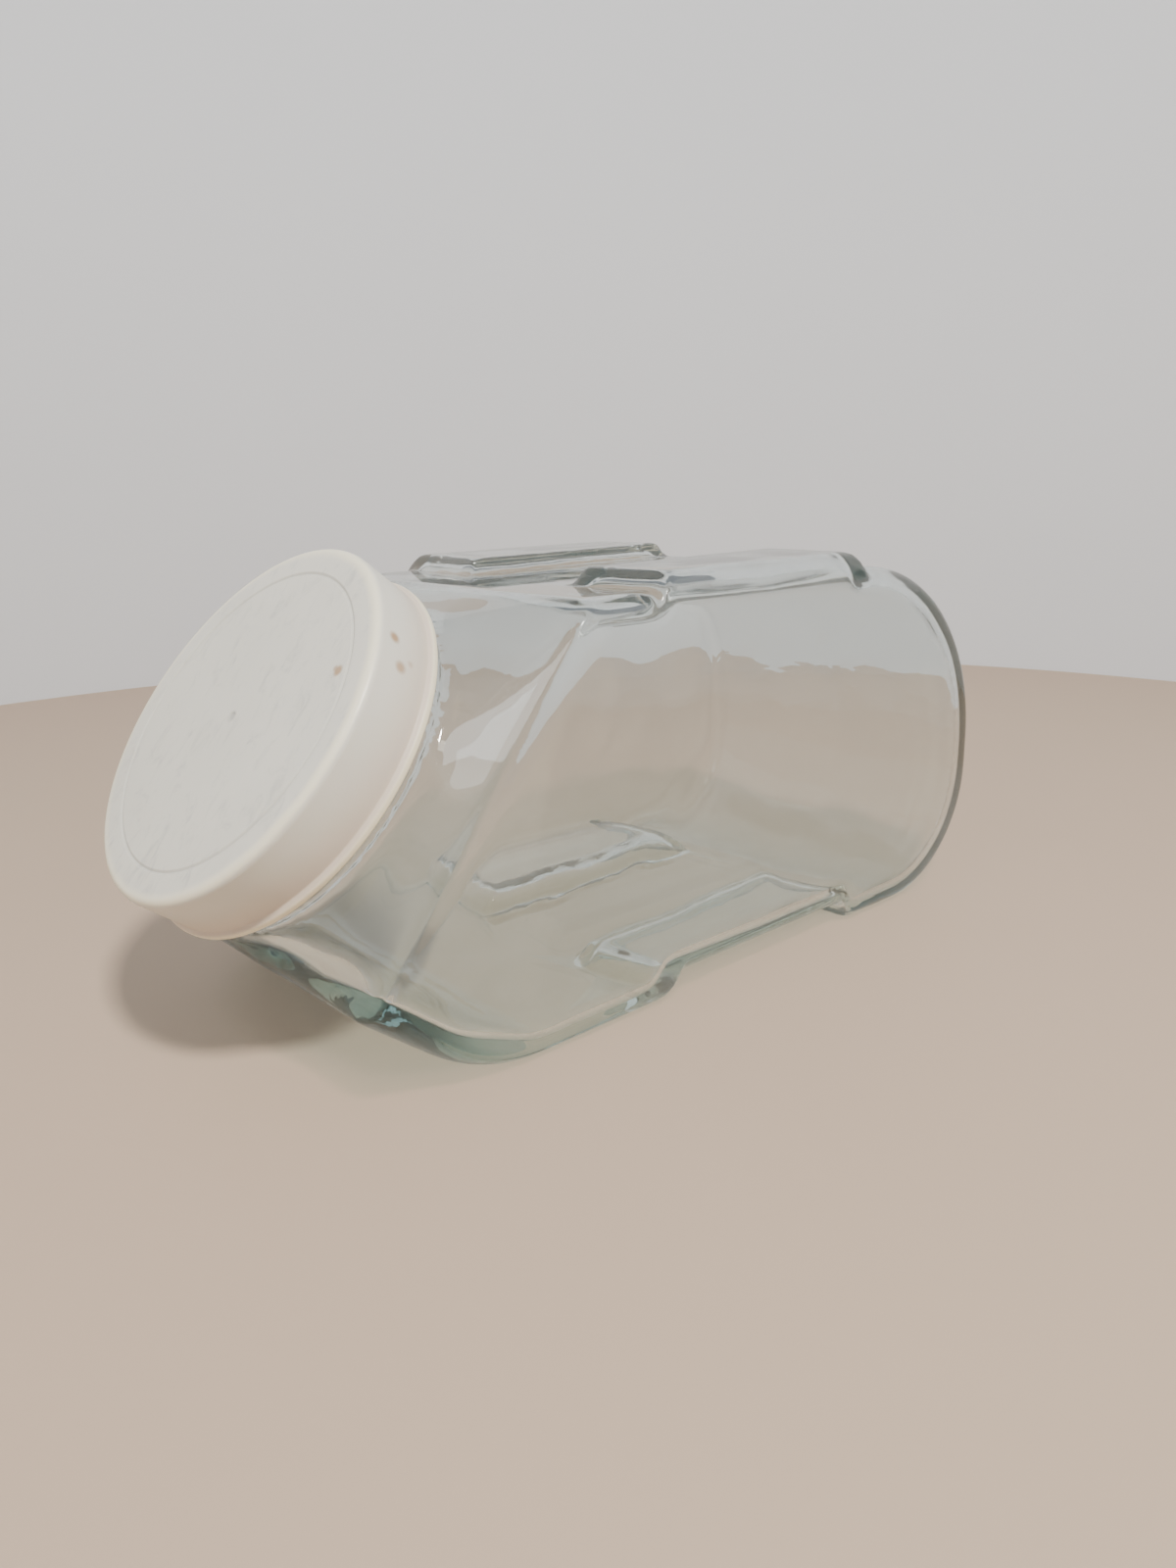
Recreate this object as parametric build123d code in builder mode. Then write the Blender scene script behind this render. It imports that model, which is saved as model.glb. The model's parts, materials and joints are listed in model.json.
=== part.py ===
"""Tilted-mouth glass storage jar with a screw lid, in millimetres.

The jar lies on its long flat base, mouth end towards -X, with the middle of its
bounding box over the origin and the base on Z = 0.  Three separate pieces make it up:
the glass body, the moulded plastic lid and the sealing liner inside the lid.
"""
from build123d import *
from math import cos, radians, sin
import os

# ---- glass body: overall ----
body_width = 137.5          # across the two flat side panels
body_height = 126.5         # base to the main top face
rear_x = 152.7              # furthest point of the rounded back end
rear_top_radius = 70.0      # back end, seen from the side
rear_bottom_radius = 47.0
belly_radius = 57.0         # underside, where it turns up towards the neck
edge_radius = 7.0           # all round the side panels
wall = 4.0                  # glass thickness

# ---- neck and mouth, measured along the tilted neck axis ----
neck_tilt = 38.5            # elevation of the neck axis
lid_face = Vector(-118.9, 0, 97.0)   # centre of the lid's outer face
under_drop = 56.0           # neck axis down to the slanted underside
crease_depth = 38.8         # lid face to the crease where the side panels start
shoulder_depth = 27.7       # lid face to the root of the neck
corner_depth = 31.5         # lid face to where the shoulder's four corners tuck in
corner_width = 2 * under_drop   # in line with the slanted underside
corner_radius = 36.0
lip_depth = 3.35            # lid face to the sealing lip
lip_rounding = 1.0
neck_radius = 52.0
bore_radius = 47.6
neck_fillet = 5.0           # where the neck spreads into the shoulder
bead_radius = 55.0          # ring below the thread
bead_top, bead_bottom = 21.8, 24.8
bead_rounding = 1.0

# ---- stacking pads on the top and matching recesses in the base ----
pad_height = 5.5
recess_depth = 7.0
recess_start = -1.0         # height where the recess cutters start, clear of the base
pad_centre_x = 31.2         # pads and recesses repeat half a turn about this line
pad_outline = [(-43.4, 90.0), (-49.3, 33.5), (45.4, 26.5), (39.8, 90.0)]
end_draft, inner_draft = 0.7, 0.35   # lean of the pad walls, per millimetre of height
pad_level, recess_level = 6.0, 6.5   # where the walls stand on the outline above
pad_block = (-34.0, 96.0)   # stretch of X that carries pads and recesses

# ---- screw thread: one right-hand start, in and out of mesh with no contact ----
pitch = 6.0
thread_turns = 1.1
neck_thread_start = 14.6    # depth of the ridge's lower end below the lid face
lid_thread_start = 17.6     # half a pitch deeper, so the ridges lie midway
neck_thread_radius = 53.3   # crests
lid_thread_radius = 52.7
ridge_root, ridge_crest = 2.5, 1.2   # widths of a ridge
ridge_embed = 0.3           # how far a ridge's root is sunk in its wall

# ---- lid ----
lid_radius = 57.2           # over the rolled lip of the skirt
lip_step, lip_height = 0.7, 1.6   # how far the rolled lip stands out, and how high it is
lip_corner = 0.4
lid_top_radius = 55.9       # at the face end of the skirt
lid_depth = 20.8
lid_top_thickness = 2.1
lid_inner_radius = 54.2
lid_edge_radius = 2.6
inner_corner = 0.8
face_groove_radius, face_groove_depth = 46.5, 0.35
liner_radius = 53.4
liner_thickness = 1.2

tilt = radians(neck_tilt)
out_dir = Vector(-cos(tilt), 0, sin(tilt))   # out of the mouth
up_dir = Vector(sin(tilt), 0, cos(tilt))     # square to it, towards the top face
neck_axis = Axis(lid_face, out_dir)
axial_plane = Plane(origin=lid_face, x_dir=up_dir, z_dir=(0, -1, 0))  # (radius, height)


def neck_plane(depth):
    """Plane square to the neck axis, depth millimetres in from the lid face."""
    return Plane(origin=lid_face - out_dir * depth, x_dir=up_dir, z_dir=out_dir)


def on_axis(depth, rise):
    """Point of the side view: depth in from the lid face, rise above the neck axis."""
    point = lid_face - out_dir * depth + up_dir * rise
    return (point.X, point.Z)


def side_outline(inset):
    """Corners of the body seen from the side, before they are rounded."""
    drop = under_drop - inset
    belly_depth = (lid_face.Z - inset - drop * cos(tilt)) / sin(tilt)
    crease = crease_depth + inset
    crease_rise = (body_height - inset - lid_face.Z + crease * sin(tilt)) / cos(tilt)
    return [
        on_axis(crease, -drop),
        on_axis(belly_depth, -drop),
        (rear_x - inset, inset),
        (rear_x - inset, body_height - inset),
        on_axis(crease, crease_rise),
    ]


def pad_prism(side, low, high, level, inset):
    """Tapered block under (or over) one pad; side is -1 near, +1 far.

    Its plan outline at height level is pad_outline, and it narrows upwards.  A positive
    inset moves its walls in by that much, and a negative one moves them out.
    """
    with BuildPart() as prism:
        for height in (low, high):
            end = end_draft * (level - height) - inset * (1 + end_draft ** 2) ** 0.5
            inner = inner_draft * (level - height) - inset * (1 + inner_draft ** 2) ** 0.5
            (x0, y0), (x1, y1), (x2, y2), (x3, y3) = pad_outline
            corners = [(x0 - end, y0), (x1 - end, y1 - inner), (x2 + end, y2 - inner),
                       (x3 + end, y3)]
            with BuildSketch(Plane.XY.offset(height)):
                Polygon(*[(pad_centre_x - side * x, side * y) for x, y in corners], align=None)
        loft(ruled=True)
    return prism.part


def rounded_bar(inset, low, high, rounded):
    """Long bar as wide as the body, its top or bottom long edges rounded."""
    length = pad_block[1] - pad_block[0]
    middle = (pad_block[0] + pad_block[1]) / 2
    with BuildPart() as bar:
        with BuildSketch(Plane.XY.offset(low)):
            with Locations((middle, 0)):
                Rectangle(length, body_width - 2 * inset)
        extrude(amount=high - low)
        edges = bar.edges().filter_by(Axis.X).group_by(Axis.Z)
        fillet(edges[-1] if rounded == "top" else edges[0], radius=edge_radius - inset / 2)
    return bar.part


def mouth_end(part):
    """The flat face of a part that looks out along the neck axis."""
    return part.faces().filter_by(lambda f: f.normal_at().dot(out_dir) > 0.999)[0]


def vessel(inset, mouth_radius, mouth_depth):
    """Solid with the body's outer form, moved in by inset; 0 gives the outer skin."""
    radii = [0, belly_radius - inset, rear_bottom_radius - inset, rear_top_radius - inset, 0]
    neck_root = shoulder_depth + inset / 2
    floor, top = recess_depth + inset, body_height + pad_height - inset
    with BuildPart() as block:
        with BuildSketch(Plane.XZ):
            with BuildLine():
                FilletPolyline(*side_outline(inset), radius=radii, close=True)
            make_face()
        extrude(amount=body_width / 2 - inset, both=True)
        rim = block.faces().filter_by(Axis.Y).edges() - mouth_end(block).edges()
        fillet(rim, radius=edge_radius - inset / 2)
    with BuildPart() as body:
        add(block.part)
        with BuildSketch(neck_plane(corner_depth + inset)) as corners:
            RectangleRounded(corner_width - 2 * inset, corner_width - 2 * inset, corner_radius)
        with BuildSketch(neck_plane(neck_root)) as neck:
            Circle(mouth_radius)
        loft([mouth_end(block), corners.sketch.face(), neck.sketch.face()], ruled=True)
        extrude(neck.sketch.face(), amount=neck_root - mouth_depth)
        root = body.edges().filter_by(GeomType.CIRCLE).filter_by(
            lambda e: abs((e.arc_center - lid_face).dot(out_dir) + neck_root) < 0.1)
        fillet(root, radius=neck_fillet + inset)
        for side in (-1, 1):
            add(pad_prism(side, recess_start, floor + edge_radius, recess_level, -inset), mode=Mode.SUBTRACT)
        add(rounded_bar(inset, floor, body_height / 2, "bottom"))
        for side in (-1, 1):
            low = body_height - edge_radius
            bar = rounded_bar(inset, body_height / 2, top, "top")
            add(bar & pad_prism(side, low, top, body_height + pad_level, inset))
    return body.part


def thread_ridge(start_depth, wall_radius, crest_radius):
    """Helical ridge standing on a round wall, outwards or inwards."""
    centre = lid_face - out_dir * start_depth
    sink = ridge_embed if crest_radius > wall_radius else -ridge_embed
    root_radius = wall_radius - sink
    with BuildPart() as ridge:
        with BuildLine():
            path = Helix(pitch, pitch * thread_turns, wall_radius, center=centre,
                         direction=out_dir)
        start = path @ 0
        with BuildSketch(Plane(origin=start, x_dir=start - centre, z_dir=path % 0)):
            Polygon((root_radius - wall_radius, -ridge_root / 2),
                    (crest_radius - wall_radius, -ridge_crest / 2),
                    (crest_radius - wall_radius, ridge_crest / 2),
                    (root_radius - wall_radius, ridge_root / 2), align=None)
        sweep(path=path.edge(), is_frenet=True)
    return ridge.part


with BuildPart() as glass_body:
    add(vessel(0, neck_radius, lip_depth))
    fillet(mouth_end(glass_body).edges(), radius=lip_rounding)
    add(vessel(wall, bore_radius, lip_depth - wall), mode=Mode.SUBTRACT)
    with BuildSketch(axial_plane):
        with BuildLine():
            FilletPolyline((neck_radius - wall / 2, -bead_bottom), (bead_radius, -bead_bottom),
                           (bead_radius, -bead_top), (neck_radius - wall / 2, -bead_top),
                           close=True, radius=[0, bead_rounding, bead_rounding, 0])
        make_face()
    revolve(axis=neck_axis)
    add(thread_ridge(neck_thread_start, neck_radius, neck_thread_radius))
glass_body.part.label = "glass_body"

with BuildPart() as lid:
    lip_top = lip_height - lid_depth
    with BuildSketch(axial_plane):
        with BuildLine():
            FilletPolyline((0, 0), (lid_top_radius, 0), (lid_radius - lip_step, lip_top),
                           (lid_radius, lip_top), (lid_radius, -lid_depth),
                           (lid_inner_radius, -lid_depth), (lid_inner_radius, -lid_top_thickness),
                           (0, -lid_top_thickness), close=True,
                           radius=[0, lid_edge_radius, lip_corner, lip_corner, 2 * lip_corner,
                                   lip_corner, inner_corner, 0])
        make_face()
    revolve(axis=neck_axis)
    with BuildSketch(axial_plane):
        with Locations((face_groove_radius, 0)):
            Circle(face_groove_depth)
    revolve(axis=neck_axis, mode=Mode.SUBTRACT)
    add(thread_ridge(lid_thread_start, lid_inner_radius, lid_thread_radius))
lid.part.label = "lid"

with BuildPart() as lid_liner:
    with BuildSketch(neck_plane(lid_top_thickness + liner_thickness)):
        Circle(liner_radius)
    extrude(amount=liner_thickness)
lid_liner.part.label = "lid_liner"

os.makedirs("parts", exist_ok=True)
for piece in (glass_body, lid, lid_liner):
    export_step(piece.part, f"parts/{piece.part.label}.step")
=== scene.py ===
import json
from math import pi, radians, sin, tan

import bpy
from mathutils import Matrix, Vector


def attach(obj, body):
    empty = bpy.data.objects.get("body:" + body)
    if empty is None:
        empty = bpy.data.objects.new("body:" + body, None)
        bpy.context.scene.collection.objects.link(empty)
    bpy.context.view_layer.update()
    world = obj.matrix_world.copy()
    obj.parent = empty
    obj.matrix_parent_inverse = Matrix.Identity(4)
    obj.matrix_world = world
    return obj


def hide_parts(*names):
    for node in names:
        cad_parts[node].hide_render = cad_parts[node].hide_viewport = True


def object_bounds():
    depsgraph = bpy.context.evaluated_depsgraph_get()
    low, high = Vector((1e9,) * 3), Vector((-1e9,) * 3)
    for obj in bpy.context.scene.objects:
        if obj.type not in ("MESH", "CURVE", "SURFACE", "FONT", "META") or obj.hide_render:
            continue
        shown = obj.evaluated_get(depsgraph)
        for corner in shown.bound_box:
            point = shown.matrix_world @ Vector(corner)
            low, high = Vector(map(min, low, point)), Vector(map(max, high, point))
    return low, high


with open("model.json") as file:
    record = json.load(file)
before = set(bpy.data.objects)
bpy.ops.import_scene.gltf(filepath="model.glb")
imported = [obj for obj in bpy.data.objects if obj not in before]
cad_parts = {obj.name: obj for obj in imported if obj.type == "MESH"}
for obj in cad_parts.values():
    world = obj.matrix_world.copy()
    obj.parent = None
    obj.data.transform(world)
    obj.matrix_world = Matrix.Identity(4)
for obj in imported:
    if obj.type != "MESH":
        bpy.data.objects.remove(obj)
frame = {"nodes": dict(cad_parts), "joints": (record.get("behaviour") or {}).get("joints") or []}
cad_low, cad_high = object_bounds()

MM = 0.001

# ---- the neck's own frame: height 0 at the lid's outer face, height upwards out of the mouth ----
lid_joint = next(joint for joint in frame["joints"] if joint["name"] == "lid_turn")
neck_out = Vector(lid_joint["axis"]).normalized()
neck_up = Vector((0, 1, 0)).cross(neck_out)
NECK = Matrix.Translation(Vector(lid_joint["pos_m"])) @ Matrix(
    (neck_up, neck_out.cross(neck_up), neck_out)).transposed().to_4x4()

# ---- camera ----
camera_place = (-0.25136, -0.29353, 0.15842)
camera_heading, camera_dip, camera_roll = -41.813, 15.110, -1.298     # degrees
camera_lens, camera_sensor = 26.234, 36.0                             # millimetres

# ---- studio: a pale round floor with a plain wall round it ----
floor_radius, wall_height, wall_foot = 0.64, 0.70, 0.03               # metres
studio_steps = 96
floor_colour, wall_colour = (0.53, 0.40, 0.30), (0.74, 0.76, 0.79)
air_colour, air_strength = (0.50, 0.54, 0.60), 0.5
# lamps: place, side in metres, power in watts and colour
lamps = {"key": ((-0.285, -0.613, 1.0), 0.13, 17, (1.0, 0.95, 0.88)),
         "sky": ((-0.85, -0.15, 0.90), 0.5, 5.5, (0.86, 0.94, 1.0))}

# ---- jar: how its moulded wall is smoothed; depths are measured from the lid's face ----
glass_grain = 1.14 * MM        # cell of the remesh that melts the sharp corners together
mould_passes = 4               # smoothing of the moulded outside
air_passes = 45                # smoothing of the inside, which only air has shaped
shoulder_passes = 40           # smoothing of the hollow shoulder under the neck
shoulder_rise = (30 * MM, 32 * MM)     # depths where that comes in
shoulder_fall = (35.5 * MM, 38 * MM)   # and where it fades, short of the crease
ring_passes = 16               # smoothing of the ring below the lid and of the neck's root
ring_rise, ring_fall = (19.5 * MM, 21 * MM), (30 * MM, 33 * MM)
air_rise = (12 * MM, 27 * MM)  # depths where the smoothing of the inside comes in
heel_thickening = 3.2 * MM     # extra glass inside the slanted underside
heel_drop = (38 * MM, 50 * MM)         # how far under the neck axis it comes in
heel_rise, heel_fall = (27 * MM, 40 * MM), (85 * MM, 125 * MM)
last_passes = 2                # smoothing of everything, once the inside is uneven
hollow_front, hollow_back, hollow_middle = -0.06, 0.085, 0.064   # the hollow's middle line, metres
neck_end = 32 * MM             # depth where that line leaves the neck axis
glass_faces = 198000           # triangles kept
wave_size, wave_height = 55 * MM, 0.42 * MM    # unevenness of the blown inner wall
ripple_size, ripple_height = 20 * MM, 0.07 * MM

# ---- lid, measured from its outer face; radii and heights ----
lid_top_radius = 55.9 * MM
lid_rim_radius = 57.2 * MM
lid_depth = 20.8 * MM
lid_bore_radius = 54.2 * MM
lid_web = 2.1 * MM             # thickness of the flat top
ring_line_radius = 46.5 * MM   # fine moulded line round the face
gate_radius = 1.5 * MM         # moulding gate, a dimple in the middle of the face
turned_steps = 256
face_corner = 2.4 * MM         # rounding of the face's outer edge
lip_height = 2.0 * MM          # rolled lip at the skirt's open end
lip_step = 1.4 * MM            # how far it stands out
# small brown stains: place on the lid in millimetres, reach in millimetres and strength
lid_stains = [
    (19.4, -38.2, 0, 2.2, 0.9),
    (19.9, -36.4, 0, 1.2, 0.6),
    (34.0, -45.2, -5.7, 2.4, 0.95),
    (27.5, -49.5, -8.9, 2.6, 0.8),
    (30.0, -48.0, -12.0, 1.6, 0.5)]
# the ridge inside the skirt that runs in the neck's thread
thread_pitch = 6 * MM
thread_turns = 1.1
thread_start = -17.6 * MM      # height of its lower end
thread_reach = 1.5 * MM        # how far it stands into the bore
thread_half = 1.25 * MM        # half its width
thread_steps = 96              # in one turn


# ---------------------------------------------------------------- tools

def ramp(value, low, high):
    """0 below low, 1 above high and a soft rise between them."""
    share = min(max((value - low) / (high - low), 0), 1)
    return share * share * (3 - 2 * share)


def hump(value, rise, fall):
    """1 between the two (low, high) ranges rise and fall, and 0 outside them."""
    return ramp(value, *rise) * (1 - ramp(value, *fall))


def nothing_selected():
    if bpy.context.object and bpy.context.object.mode != "OBJECT":
        bpy.ops.object.mode_set(mode="OBJECT")
    bpy.ops.object.select_all(action="DESELECT")


def only(piece):
    """Makes one piece the selected and active one."""
    nothing_selected()
    piece.select_set(True)
    bpy.context.view_layer.objects.active = piece


def modify(piece, kind, **settings):
    """Adds a modifier to the piece and applies it."""
    only(piece)
    modifier = piece.modifiers.new(kind.title(), kind)
    for name, value in settings.items():
        setattr(modifier, name, value)
    bpy.ops.object.modifier_apply(modifier=modifier.name)


def soft_corners(corners, steps=6):
    """Points along a line of (radius, height, rounding) corners, each corner rounded by an arc."""
    points = []
    for i, (x, z, rounding) in enumerate(corners):
        here = Vector((x, z))
        if not rounding or i in (0, len(corners) - 1):
            points.append(here)
            continue
        back = (Vector(corners[i - 1][:2]) - here).normalized()
        ahead = (Vector(corners[i + 1][:2]) - here).normalized()
        half = back.angle(ahead) / 2
        centre = here + (back + ahead).normalized() * (rounding / sin(half))
        start = here + back * (rounding / tan(half)) - centre
        finish = here + ahead * (rounding / tan(half)) - centre
        turn = start.angle_signed(finish)
        for step in range(steps + 1):
            points.append(centre + Matrix.Rotation(-turn * step / steps, 2) @ start)
    return points


def turned(name, points, steps=turned_steps):
    """A piece spun about the Z axis from (radius, height) points on its section."""
    nothing_selected()
    first = points[0]
    bpy.ops.mesh.primitive_plane_add(size=MM, location=(first.x, 0, first.y))
    piece = bpy.context.object
    piece.name = piece.data.name = name
    bpy.ops.object.transform_apply(location=True, rotation=True, scale=True)
    bpy.ops.object.mode_set(mode="EDIT")
    bpy.ops.mesh.select_all(action="SELECT")
    bpy.ops.mesh.merge(type="CENTER")
    for here, ahead in zip(points, points[1:]):
        step = (ahead.x - here.x, 0, ahead.y - here.y)
        bpy.ops.mesh.extrude_region_move(TRANSFORM_OT_translate={"value": step})
    bpy.ops.mesh.select_all(action="SELECT")
    bpy.ops.mesh.spin(steps=steps, angle=2 * pi, center=(0, 0, 0), axis=(0, 0, 1))
    bpy.ops.mesh.select_all(action="SELECT")
    bpy.ops.mesh.remove_doubles(threshold=0.002 * MM)
    bpy.ops.mesh.normals_make_consistent(inside=False)
    bpy.ops.object.mode_set(mode="OBJECT")
    return piece


def onto_neck(piece):
    """Sets a piece that was made round the Z axis onto the neck, and leaves its object at the origin."""
    only(piece)
    piece.matrix_world = NECK
    bpy.ops.object.transform_apply(location=True, rotation=True, scale=True)


def rounded_shading(piece, degrees=35):
    only(piece)
    bpy.ops.object.shade_smooth_by_angle(angle=radians(degrees))


# ---------------------------------------------------------------- shader maths

class Wire:
    """A shader value. Sums and products of wires and numbers add Math nodes to their finish."""

    def __init__(self, finish, socket):
        self.finish, self.socket = finish, socket

    def maths(self, operation, *others):
        values = dict(enumerate((self,) + others))
        return self.finish.node("ShaderNodeMath", {"operation": operation}, values)

    def __add__(self, other):
        return self.maths("ADD", other)

    __radd__ = __add__

    def __sub__(self, other):
        return self.maths("SUBTRACT", other)

    def __rsub__(self, other):
        return self * -1.0 + other

    def __mul__(self, other):
        return self.maths("MULTIPLY", other)

    __rmul__ = __mul__

    def __truediv__(self, other):
        return self.maths("DIVIDE", other)

    def __pow__(self, other):
        return self.maths("POWER", other)


class Finish:
    """One procedural material under construction."""

    def __init__(self, name, colour):
        self.material = bpy.data.materials.new(name)
        self.material.use_nodes = True
        self.material.diffuse_color = (*colour, 1)
        self.tree = self.material.node_tree
        self.shader = self.tree.nodes["Principled BSDF"]
        self.output = self.tree.nodes["Material Output"]
        self.shown = Wire(self, self.shader.outputs[0])
        self.place = self.node("ShaderNodeTexCoord", {}, {}, "Object")

    def node(self, kind, settings, sockets, output=0):
        node = self.tree.nodes.new(kind)
        for name, value in settings.items():
            setattr(node, name, value)
        for socket, value in sockets.items():
            self.plug(node.inputs[socket], value)
        return Wire(self, node.outputs[output])

    def plug(self, socket, value):
        if isinstance(value, Wire):
            self.tree.links.new(value.socket, socket)
        elif socket.type == "RGBA" and len(value) == 3:
            socket.default_value = (*value, 1)
        else:
            socket.default_value = value

    def set(self, **values):
        """Sets the shader's own sockets; an underscore in a name stands for a space."""
        for name, value in values.items():
            self.plug(self.shader.inputs[name.replace("_", " ")], value)

    def noise(self, size, detail=2.0, roughness=0.5, place=None, distortion=0.0):
        """Noise from 0 to 1 whose blotches are about size across."""
        sockets = {"Vector": place or self.place, "Scale": 1 / size, "Detail": detail,
                   "Roughness": roughness, "Distortion": distortion}
        return self.node("ShaderNodeTexNoise", {}, sockets)

    def step(self, value, low, high):
        """0 below low, 1 above high and a soft rise between them."""
        sockets = {"Value": value, "From Min": low, "From Max": high}
        return self.node("ShaderNodeMapRange", {"interpolation_type": "SMOOTHSTEP"}, sockets)

    def blend(self, share, first, second):
        """Colour that runs from first to second."""
        sockets = {"Factor": share, 6: first, 7: second}
        return self.node("ShaderNodeMix", {"data_type": "RGBA"}, sockets, 2)

    def bump(self, height, distance, strength=1.0, normal=None):
        sockets = {"Height": height, "Distance": distance, "Strength": strength}
        if normal:
            sockets["Normal"] = normal
        return self.node("ShaderNodeBump", {}, sockets)

    def neck_place(self):
        """Coordinates in the neck's own frame."""
        turn = NECK.inverted().to_euler()
        shift = NECK.inverted().to_translation()
        sockets = {"Vector": self.place, "Location": shift, "Rotation": turn}
        return self.node("ShaderNodeMapping", {"vector_type": "POINT"}, sockets)

    def near(self, point, reach):
        """1 at a point, falling to 0 at reach from it."""
        away = self.node("ShaderNodeVectorMath", {"operation": "DISTANCE"},
                         {0: self.place, 1: point}, "Value")
        return self.step(away, reach, reach * 0.35)

    def let_through(self, share, tint):
        """Lets a share of the light go straight on, so that it isn't trapped in thick edges."""
        clear = self.node("ShaderNodeBsdfTransparent", {}, {"Color": tint})
        self.shown = self.node("ShaderNodeMixShader", {}, {0: share, 1: self.shown, 2: clear})

    def through_lamps(self, tint):
        """Lets light go straight through clear glass to what it falls on, so that its shadow is pale."""
        paths = self.node("ShaderNodeLightPath", {}, {}).socket.node
        clear = self.node("ShaderNodeBsdfTransparent", {}, {"Color": tint})
        for ray in ("Is Shadow Ray", "Is Diffuse Ray"):
            self.shown = self.node("ShaderNodeMixShader", {},
                                   {0: Wire(self, paths.outputs[ray]), 1: self.shown, 2: clear})
        self.tree.links.new(self.shown.socket, self.output.inputs["Surface"])


def clear_glass():
    """Clear moulded glass with a grey-green depth, a little dust and faint smears."""
    finish = Finish("clear_moulded_glass", (0.86, 0.93, 0.91))
    smear = finish.step(finish.noise(30 * MM, 4.0, 0.6, distortion=0.6), 0.56, 0.72)
    dust = finish.step(finish.noise(1.6 * MM, 1.0), 0.74, 0.80)
    orange_peel = finish.noise(7 * MM, 2.0)
    finish.set(Base_Color=(0.975, 0.99, 0.985), Transmission_Weight=1.0, IOR=1.47,
               Roughness=smear * 0.035 + dust * 0.12,
               Normal=finish.bump(orange_peel, 0.05 * MM, 0.35))
    depth = finish.node("ShaderNodeVolumeAbsorption", {},
                        {"Color": (0.62, 0.79, 0.80), "Density": 27.0})
    finish.tree.links.new(depth.socket, finish.output.inputs["Volume"])
    finish.let_through(0.07, (0.97, 0.985, 0.98))
    finish.through_lamps((0.90, 0.925, 0.92))
    return finish.material


def aged_plastic_with_painted_light():
    """Ivory moulded plastic, satin, with scuffs and a few stains, a painted cream highlight on the
    face's rounded edge and on the rolled lip, painted warm shade low on the skirt and painted shade in
    the ring line.
    """
    finish = Finish("aged_ivory_plastic", (0.83, 0.81, 0.74))
    neck = finish.neck_place()
    split = finish.node("ShaderNodeSeparateXYZ", {}, {"Vector": neck})
    x, y, height = (Wire(finish, split.socket.node.outputs[i]) for i in range(3))
    radius = (x * x + y * y) ** 0.5
    cloud = finish.noise(28 * MM, 3.0, 0.55)
    grain = finish.noise(0.9 * MM, 2.0)
    scuff_place = finish.node("ShaderNodeMapping", {"vector_type": "POINT"},
                              {"Vector": neck, "Rotation": (0, 0, 0.7), "Scale": (1.0, 1.9, 1.0)})
    scuffs = finish.step(finish.noise(11 * MM, 6.0, 0.66, scuff_place, 0.8), 0.50, 0.74)
    on_face = finish.step(height, -1.6 * MM, -0.5 * MM)
    # painted shade with a warm bounced tint, growing towards the skirt's open end
    skirt_painted_shade = finish.step(height, -5 * MM, -lid_depth)
    # band of the rolled lip that carries a painted cream highlight
    lip = 1 - finish.step(height, -lid_depth + 1.6 * MM, -lid_depth + 2.4 * MM)
    # band round the face's rounded edge that carries a painted cream highlight
    edge = finish.step(radius, 51.5 * MM, 54.5 * MM) * on_face
    # the ring line's groove, which is darkened below as painted shade
    line = 1 - finish.step((radius - ring_line_radius).maths("ABSOLUTE"), 0.2 * MM, 0.9 * MM)
    gate = 1 - finish.step(radius, gate_radius * 0.6, gate_radius * 1.6)
    stain = (0.42, 0.27, 0.15)
    ivory = finish.blend(cloud, (0.68, 0.67, 0.60), (0.77, 0.755, 0.67))
    colour = finish.blend(scuffs * on_face * 0.6, ivory, (0.50, 0.505, 0.48))
    # painted highlight: cream along the face's rounded edge
    colour = finish.blend(edge * 0.9, colour, (0.93, 0.88, 0.69))
    # painted shade: darker and warmer low on the skirt
    colour = finish.blend(skirt_painted_shade * 0.75, colour, (0.66, 0.54, 0.43))
    # painted highlight: cream along the rolled lip
    colour = finish.blend(lip * 0.95, colour, (0.93, 0.86, 0.65))
    # painted shade in the ring line's groove
    colour = finish.blend(line * on_face * 0.5, colour, (0.52, 0.51, 0.46))
    colour = finish.blend(gate * on_face * 0.55, colour, (0.34, 0.34, 0.32))
    for x_mm, y_mm, z_mm, reach, share in lid_stains:
        spot = NECK @ (Vector((x_mm, y_mm, z_mm)) * MM)
        colour = finish.blend(finish.near(spot, reach * MM) * share, colour, stain)
    roughness = 0.40 + scuffs * 0.16 - edge * 0.10 - lip * 0.10 + cloud * 0.06
    relief = finish.bump(grain, 0.03 * MM, 0.6, finish.bump(scuffs, 0.05 * MM, 0.4))
    finish.set(Base_Color=colour, Roughness=roughness, Normal=relief, IOR=1.49,
               Subsurface_Weight=0.12, Subsurface_Scale=2.5 * MM,
               Subsurface_Radius=(1.0, 0.8, 0.5))
    return finish.material


def liner_foam():
    """Off-white closed-cell foam sheet."""
    finish = Finish("liner_foam", (0.86, 0.85, 0.80))
    cells = finish.noise(0.8 * MM, 2.0)
    cloud = finish.noise(18 * MM, 3.0)
    finish.set(Base_Color=finish.blend(cloud, (0.74, 0.73, 0.68), (0.82, 0.81, 0.76)),
               Roughness=0.7 + cells * 0.15, Normal=finish.bump(cells, 0.08 * MM, 0.7))
    return finish.material


def studio_finish(name, colour):
    finish = Finish(name, colour)
    cloud = finish.noise(0.25, 2.0)
    darker = tuple(0.96 * part for part in colour)
    finish.set(Base_Color=finish.blend(cloud, darker, colour), Roughness=0.65)
    return finish.material


# ---------------------------------------------------------------- camera, floor and light

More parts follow.
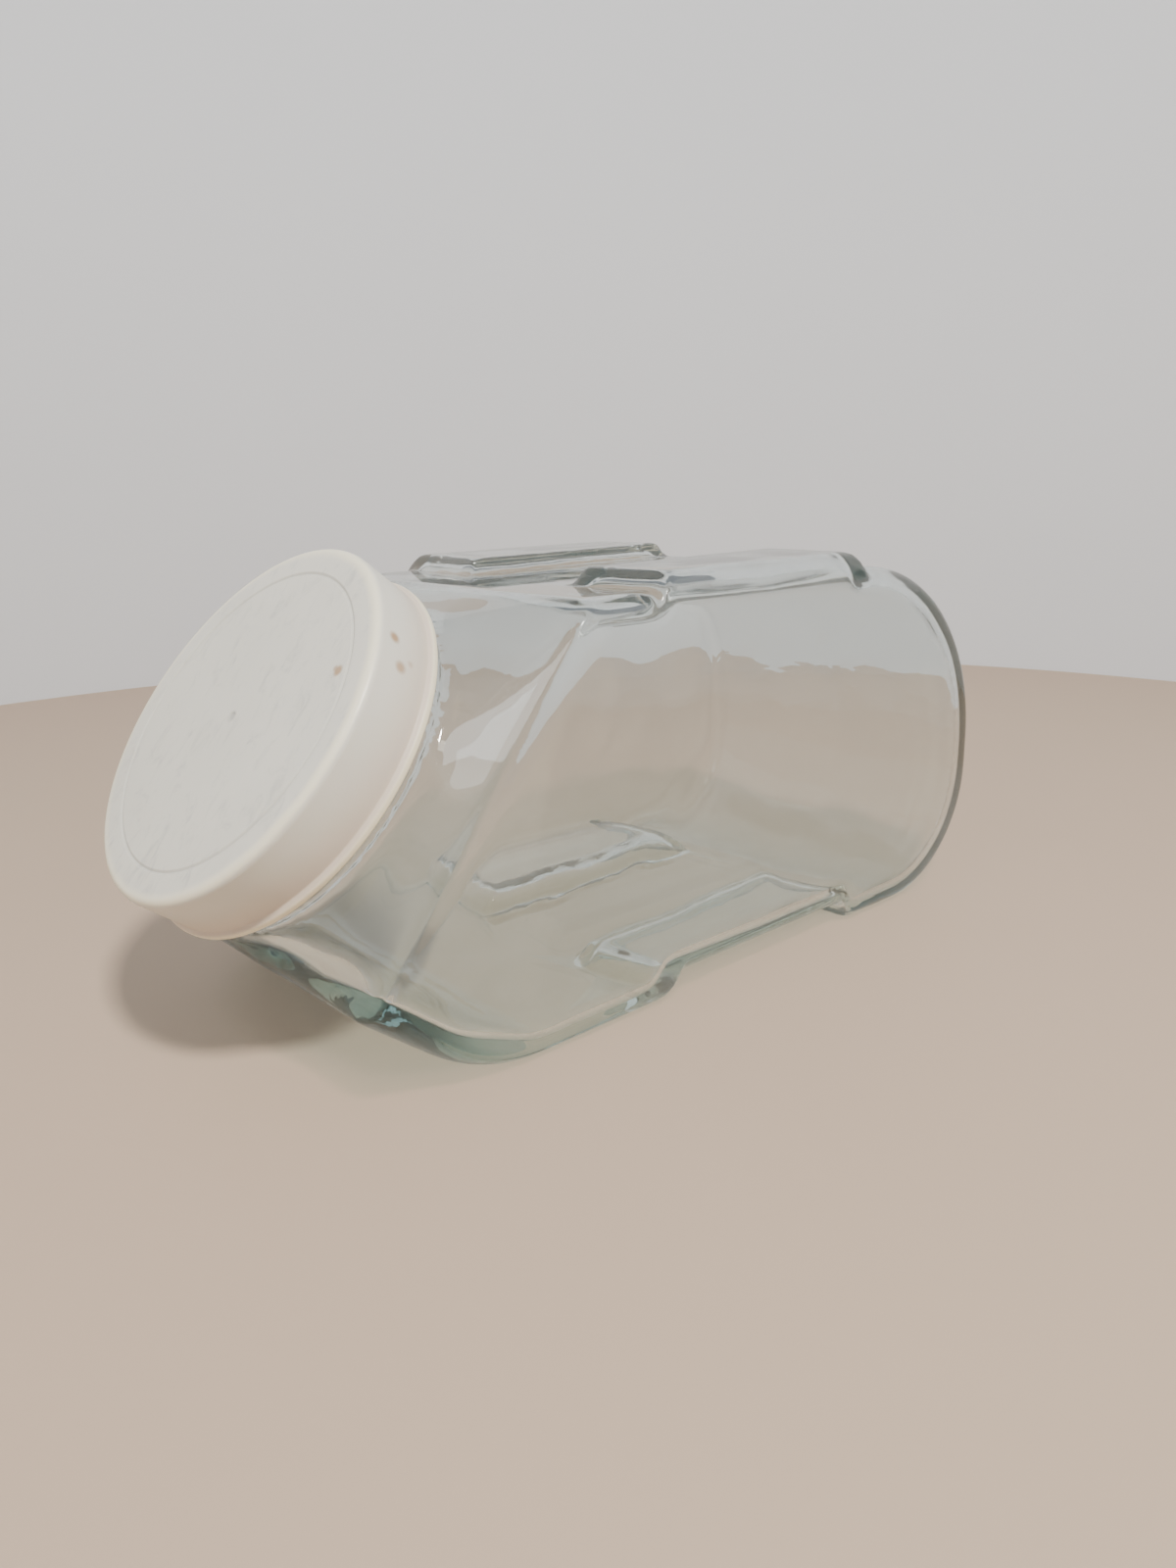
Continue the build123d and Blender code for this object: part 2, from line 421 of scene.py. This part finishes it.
def make_camera():
    lens = bpy.data.cameras.new("view")
    lens.lens, lens.sensor_width, lens.clip_start = camera_lens, camera_sensor, 0.01
    camera = bpy.data.objects.new("view", lens)
    bpy.context.scene.collection.objects.link(camera)
    turn = (Matrix.Rotation(radians(camera_heading), 4, "Z")
            @ Matrix.Rotation(radians(90 - camera_dip), 4, "X")
            @ Matrix.Rotation(radians(camera_roll), 4, "Z"))
    camera.matrix_world = Matrix.Translation(camera_place) @ turn
    bpy.context.scene.camera = camera


def lamp(name, place, size, power, colour):
    """A soft square lamp that looks at the jar."""
    light = bpy.data.lights.new(name, "AREA")
    light.size, light.energy, light.color = size, power, colour
    thing = bpy.data.objects.new(name, light)
    bpy.context.scene.collection.objects.link(thing)
    middle = (cad_low + cad_high) / 2
    thing.location = place
    thing.rotation_euler = (middle - Vector(place)).to_track_quat("-Z", "Y").to_euler()


def make_studio():
    ground = cad_low.z
    floor = turned("floor", soft_corners([(0, ground, 0), (floor_radius, ground, 0)]),
                   studio_steps)
    wall = turned("wall", soft_corners([
        (floor_radius - wall_foot, ground - MM, 0), (floor_radius, ground - MM, 0),
        (floor_radius, wall_height, 0)]), studio_steps)
    for thing, colour in ((floor, floor_colour), (wall, wall_colour)):
        rounded_shading(thing, 60)
        thing.data.materials.append(studio_finish(thing.name + "_paint", colour))
    world = bpy.data.worlds.new("studio")
    bpy.context.scene.world = world
    world.use_nodes = True
    air = world.node_tree.nodes["Background"]
    air.inputs["Color"].default_value = (*air_colour, 1)
    air.inputs["Strength"].default_value = air_strength
    for name, settings in lamps.items():
        lamp(name, *settings)


# ---------------------------------------------------------------- pieces

def centre_line(point):
    """A point in the middle of the hollow, level with the given point."""
    local = NECK.inverted() @ point
    if local.z > -neck_end:
        return NECK @ Vector((0, 0, local.z))
    return Vector((min(max(point.x, hollow_front), hollow_back), 0, hollow_middle))


def make_jar():
    """The glass, melted into one soft-cornered wall with an uneven inside."""
    nothing_selected()
    jar = bpy.data.objects.new("jar_glass", frame["nodes"]["glass_body"].data.copy())
    bpy.context.scene.collection.objects.link(jar)
    only(jar)
    bpy.ops.object.mode_set(mode="EDIT")
    bpy.ops.mesh.select_all(action="SELECT")
    bpy.ops.mesh.remove_doubles(threshold=0.001 * MM)
    bpy.ops.object.mode_set(mode="OBJECT")
    modify(jar, "REMESH", mode="VOXEL", voxel_size=glass_grain, adaptivity=0.0)
    modify(jar, "SMOOTH", factor=0.5, iterations=mould_passes)
    inside, shoulder, ring, heel = (
        jar.vertex_groups.new(name=name) for name in ("inside", "shoulder", "ring", "heel"))
    for vertex in jar.data.vertices:
        place = NECK.inverted() @ vertex.co
        depth, drop = -place.z, -place.x
        if vertex.normal.dot(vertex.co - centre_line(vertex.co)) < 0:
            inside.add([vertex.index], ramp(depth, *air_rise), "REPLACE")
            share = ramp(drop, *heel_drop) * hump(depth, heel_rise, heel_fall)
            heel.add([vertex.index], share, "REPLACE")
        for group, rise, fall in ((shoulder, shoulder_rise, shoulder_fall),
                                  (ring, ring_rise, ring_fall)):
            share = hump(depth, rise, fall)
            if share > 0:
                group.add([vertex.index], share, "REPLACE")
    modify(jar, "DISPLACE", strength=heel_thickening, mid_level=0.0, vertex_group="heel")
    modify(jar, "SMOOTH", factor=0.5, iterations=ring_passes, vertex_group="ring")
    modify(jar, "SMOOTH", factor=0.5, iterations=air_passes, vertex_group="inside")
    modify(jar, "SMOOTH", factor=0.5, iterations=shoulder_passes, vertex_group="shoulder")
    for name, size, height in (("wave", wave_size, wave_height),
                               ("ripple", ripple_size, ripple_height)):
        clouds = bpy.data.textures.new(name, "CLOUDS")
        clouds.noise_scale, clouds.noise_depth = size, 1
        modify(jar, "DISPLACE", texture=clouds, texture_coords="LOCAL", strength=height * 4,
               mid_level=0.5, vertex_group="inside")
    modify(jar, "SMOOTH", factor=0.5, iterations=last_passes)
    faces = sum(len(polygon.vertices) - 2 for polygon in jar.data.polygons)
    if faces > glass_faces:
        modify(jar, "DECIMATE", ratio=glass_faces / faces)
    jar.vertex_groups.clear()
    rounded_shading(jar, 180)
    jar.data.materials.clear()
    jar.data.materials.append(clear_glass())
    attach(jar, "jar")
    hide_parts("glass_body")


def thread_ridge():
    """The rounded helical ridge on the skirt's bore, its section extruded step by step round and up."""
    nothing_selected()
    bpy.ops.mesh.primitive_circle_add(vertices=14, radius=1, fill_type="NGON", rotation=(pi / 2, 0, 0))
    ridge = bpy.context.object
    ridge.scale = (thread_reach, thread_half, 1)
    ridge.location = (-lid_bore_radius, 0, thread_start)
    bpy.ops.object.transform_apply(location=True, rotation=True, scale=True)
    steps = round(thread_turns * thread_steps)
    rise = thread_pitch * thread_turns / steps
    bpy.ops.object.mode_set(mode="EDIT")
    bpy.ops.mesh.select_all(action="SELECT")
    for step in range(steps):
        bpy.ops.mesh.extrude_region_move(TRANSFORM_OT_translate={"value": (0, 0, rise)})
        bpy.ops.transform.rotate(value=-2 * pi * thread_turns / steps, orient_axis="Z",
                                 center_override=(0, 0, 0))
    bpy.ops.mesh.select_all(action="SELECT")
    bpy.ops.mesh.normals_make_consistent(inside=False)
    bpy.ops.object.mode_set(mode="OBJECT")
    return ridge


def make_lid():
    """The screw lid: flat face with a fine ring line, rounded edge, skirt, rolled lip and thread."""
    line, top, rim, bore = ring_line_radius, lid_top_radius, lid_rim_radius, lid_bore_radius
    section = soft_corners([
        (0, -0.3 * MM, 0),
        (gate_radius * 0.6, -0.3 * MM, 0.2 * MM),
        (gate_radius, 0, 0.3 * MM),
        (line - 0.7 * MM, 0, 0.3 * MM),
        (line, -0.35 * MM, 0.3 * MM),
        (line + 0.7 * MM, 0, 0.3 * MM),
        (top, 0, face_corner),
        (rim - lip_step, -lid_depth + 2.8 * MM, 0.6 * MM),
        (rim, -lid_depth + lip_height, 0.8 * MM),
        (rim, -lid_depth, 0.8 * MM),
        (bore, -lid_depth, 0.6 * MM),
        (bore, -lid_web, 0.8 * MM),
        (0, -lid_web, 0)])
    lid = turned("screw_lid", section)
    ridge = thread_ridge()
    only(lid)
    ridge.select_set(True)
    bpy.ops.object.join()
    onto_neck(lid)
    rounded_shading(lid)
    lid.data.materials.append(aged_plastic_with_painted_light())
    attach(lid, "lid")
    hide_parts("lid")


make_camera()
make_studio()
make_jar()
make_lid()
liner = frame["nodes"]["lid_liner"]
liner.data.materials.clear()
liner.data.materials.append(liner_foam())
